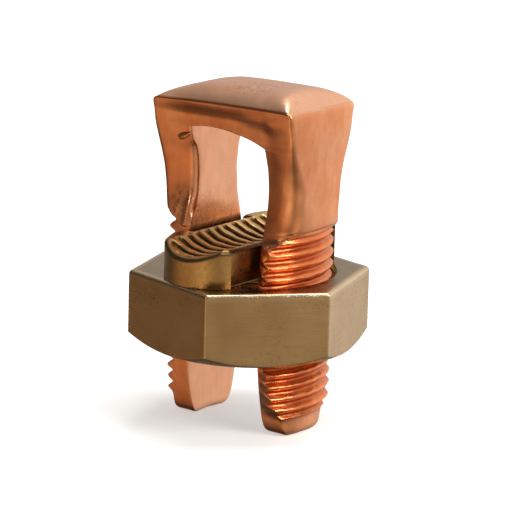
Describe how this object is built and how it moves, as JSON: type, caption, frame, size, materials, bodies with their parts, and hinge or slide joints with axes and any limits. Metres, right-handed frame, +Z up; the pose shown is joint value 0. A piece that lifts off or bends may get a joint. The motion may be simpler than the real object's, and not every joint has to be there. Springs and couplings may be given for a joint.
{
  "type": "split bolt connector",
  "caption": "Copper split bolt with a hex nut and ribbed pressure bar that clamp bare conductors in the slot between its threaded legs.",
  "frame": {"origin": "centre of the object's footprint, on the plane of the two leg ends", "axes": "+Z up along the thread axis towards the head, Y along the wires through the slot, X across the two legs"},
  "size_m": [0.036, 0.0348, 0.0516],
  "materials": {
    "forged_copper": "forged copper, semi-bright, with light wear",
    "bar_bronze": "cast bronze, satin, darkened in the grooves",
    "nut_bronze": "machined bronze, fine horizontal brushing"
  },
  "bodies": {
    "bolt": {"split_bolt_body": "forged_copper"},
    "bar": {"pressure_bar": "bar_bronze"},
    "nut": {"hex_nut": "nut_bronze"}
  },
  "joints": [
    {"name": "bar_slide", "type": "slide", "parent": "bolt", "child": "bar", "axis": [0, 0, 1], "range_m": [-0.0095, 0.0068]},
    {"name": "nut_turn", "type": "hinge", "parent": "bar", "child": "nut", "pos_m": [0, 0, 0.01775], "axis": [0, 0, 1], "range_deg": [-1900, 1360]}
  ],
  "couplings": [
    {"joint": "nut_turn", "follows": "bar_slide", "rad_per_m": 3463.1}
  ]
}
